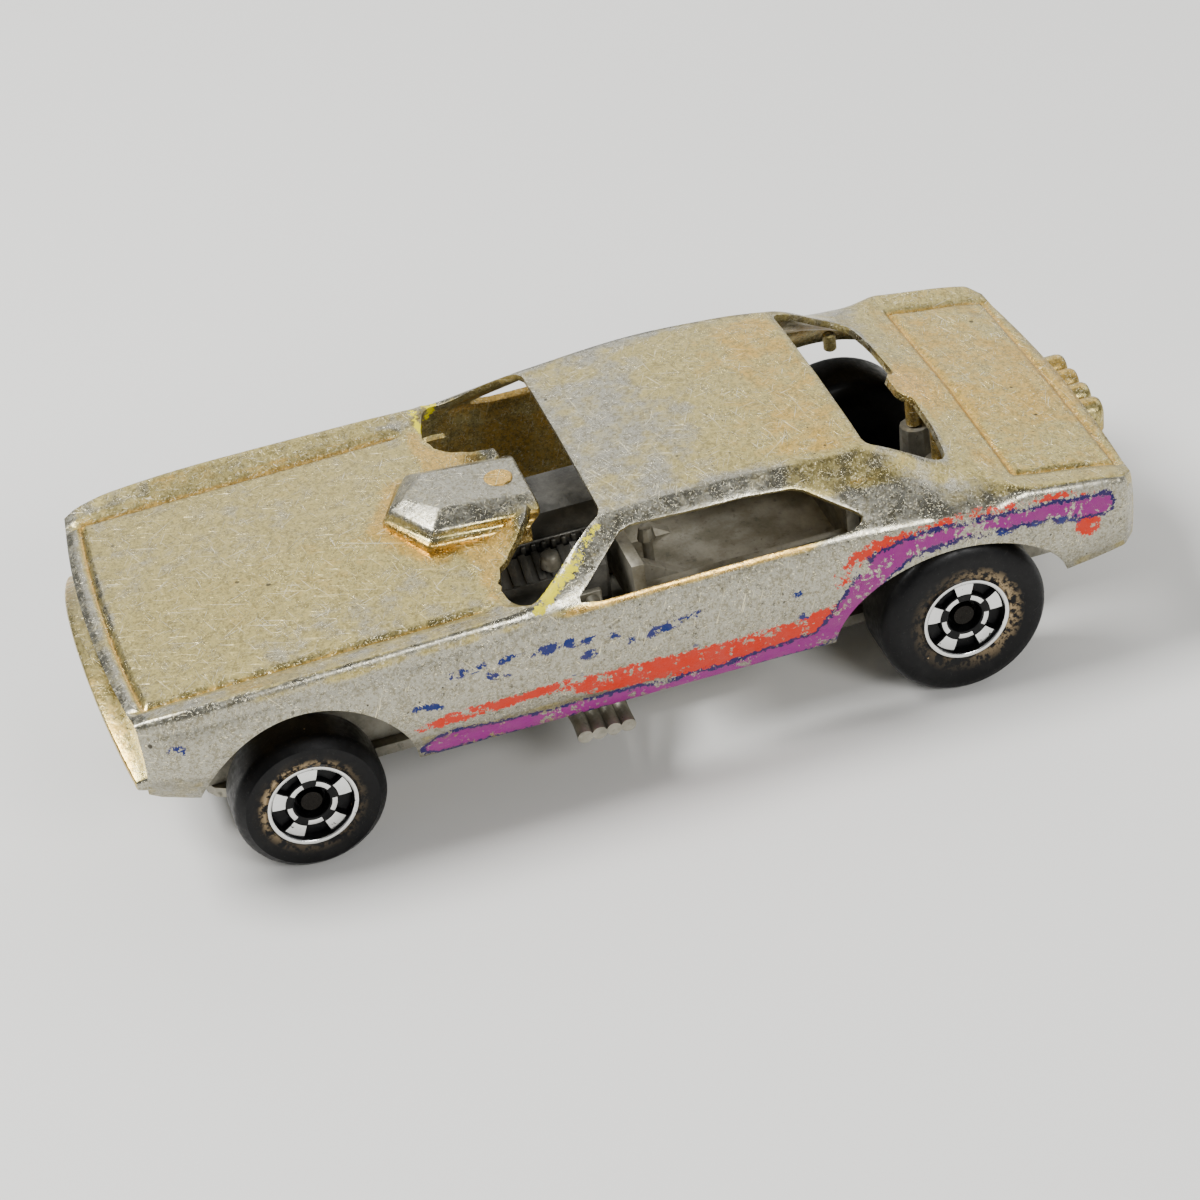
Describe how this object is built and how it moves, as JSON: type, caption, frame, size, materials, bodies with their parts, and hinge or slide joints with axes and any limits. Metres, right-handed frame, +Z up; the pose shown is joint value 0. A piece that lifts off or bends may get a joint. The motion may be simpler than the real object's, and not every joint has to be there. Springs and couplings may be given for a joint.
{
  "type": "diecast collector car",
  "caption": "Small die-cast funny car: cast body that tilts up on a rear hinge over a riveted chassis with engine, tub, headers and free-rolling wheels.",
  "frame": {"origin": "centre of the bounding box in plan, on the surface that the wheels stand on", "axes": "+Z up, -Y towards the nose, +X towards the car's left side"},
  "size_m": [0.0314, 0.0756, 0.0208],
  "materials": {
    "gold_plating": "vacuum-plated gold over zinc, worn to grey on edges and sides",
    "bare_zinc": "bare cast zinc alloy, satin",
    "steel": "plain steel wire and rivets",
    "black_plastic": "satin moulded black",
    "chrome_foil": "hot-stamped chrome foil, lightly scuffed"
  },
  "bodies": {
    "chassis": {"base_plate": "bare_zinc", "chassis_frame": "bare_zinc", "interior_tub": "bare_zinc", "engine_block": "bare_zinc", "blower": "bare_zinc", "injector_hat": "bare_zinc", "magneto": "bare_zinc", "header_left": "bare_zinc", "header_right": "bare_zinc", "hinge_pin": "steel", "rivet_front": "steel", "rivet_rear": "steel", "front_axle": "steel", "rear_axle": "steel"},
    "shell": {"body_shell": "gold_plating"},
    "front_wheel_left": {"front_wheel_left": "black_plastic"},
    "front_wheel_right": {"front_wheel_right": "black_plastic"},
    "rear_wheel_left": {"rear_wheel_left": "black_plastic"},
    "rear_wheel_right": {"rear_wheel_right": "black_plastic"}
  },
  "joints": [
    {"name": "shell_hinge", "type": "hinge", "parent": "chassis", "child": "shell", "pos_m": [0, 0.0333, 0.0094], "axis": [-1, 0, 0], "range_deg": [0, 40]},
    {"name": "front_left_spin", "type": "hinge", "parent": "chassis", "child": "front_wheel_left", "pos_m": [0.0118, -0.0253, 0.00537], "axis": [1, 0, 0], "continuous": true},
    {"name": "front_right_spin", "type": "hinge", "parent": "chassis", "child": "front_wheel_right", "pos_m": [-0.0118, -0.0253, 0.00537], "axis": [1, 0, 0], "continuous": true},
    {"name": "rear_left_spin", "type": "hinge", "parent": "chassis", "child": "rear_wheel_left", "pos_m": [0.012, 0.0225, 0.00617], "axis": [1, 0, 0], "continuous": true},
    {"name": "rear_right_spin", "type": "hinge", "parent": "chassis", "child": "rear_wheel_right", "pos_m": [-0.012, 0.0225, 0.00617], "axis": [1, 0, 0], "continuous": true}
  ]
}
